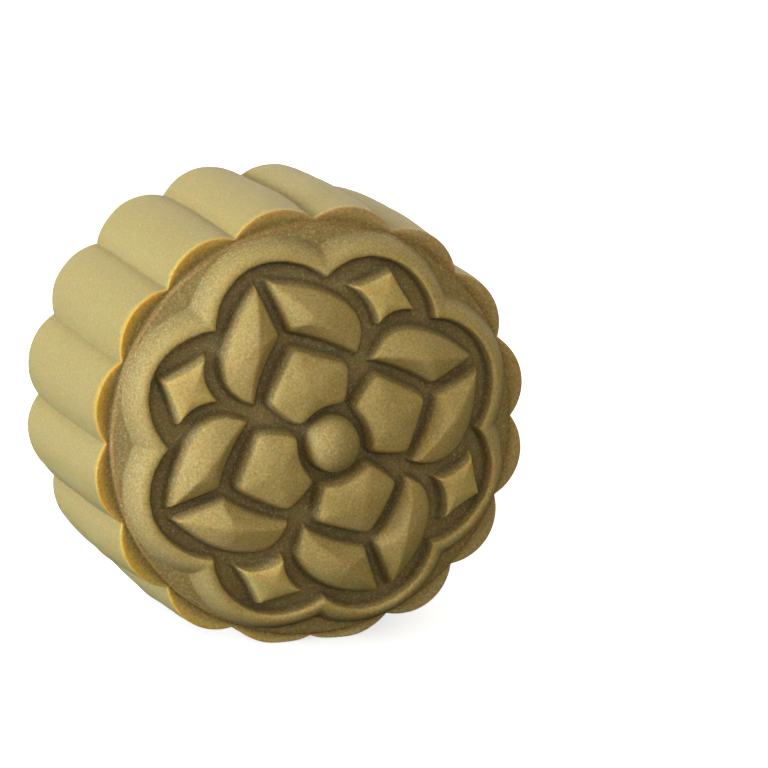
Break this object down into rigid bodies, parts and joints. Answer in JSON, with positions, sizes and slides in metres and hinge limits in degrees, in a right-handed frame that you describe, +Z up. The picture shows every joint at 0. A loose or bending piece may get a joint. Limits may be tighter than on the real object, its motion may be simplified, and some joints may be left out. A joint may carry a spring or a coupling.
{
  "type": "mooncake",
  "caption": "Round moulded mooncake with fluted sides and a raised flower of petals, leaves and stars inside a lobed ridge, standing on its side.",
  "frame": {"origin": "centre of the cake's box on the surface that it stands on", "axes": "+Z up, -Y out of the patterned face, +X to the right as that face is looked at"},
  "size_m": [0.0508, 0.0366, 0.0494],
  "materials": {
    "dough": "matte khaki baked dough with a fine powdery grain"
  },
  "bodies": {
    "root": {"mooncake": "dough"}
  },
  "joints": []
}
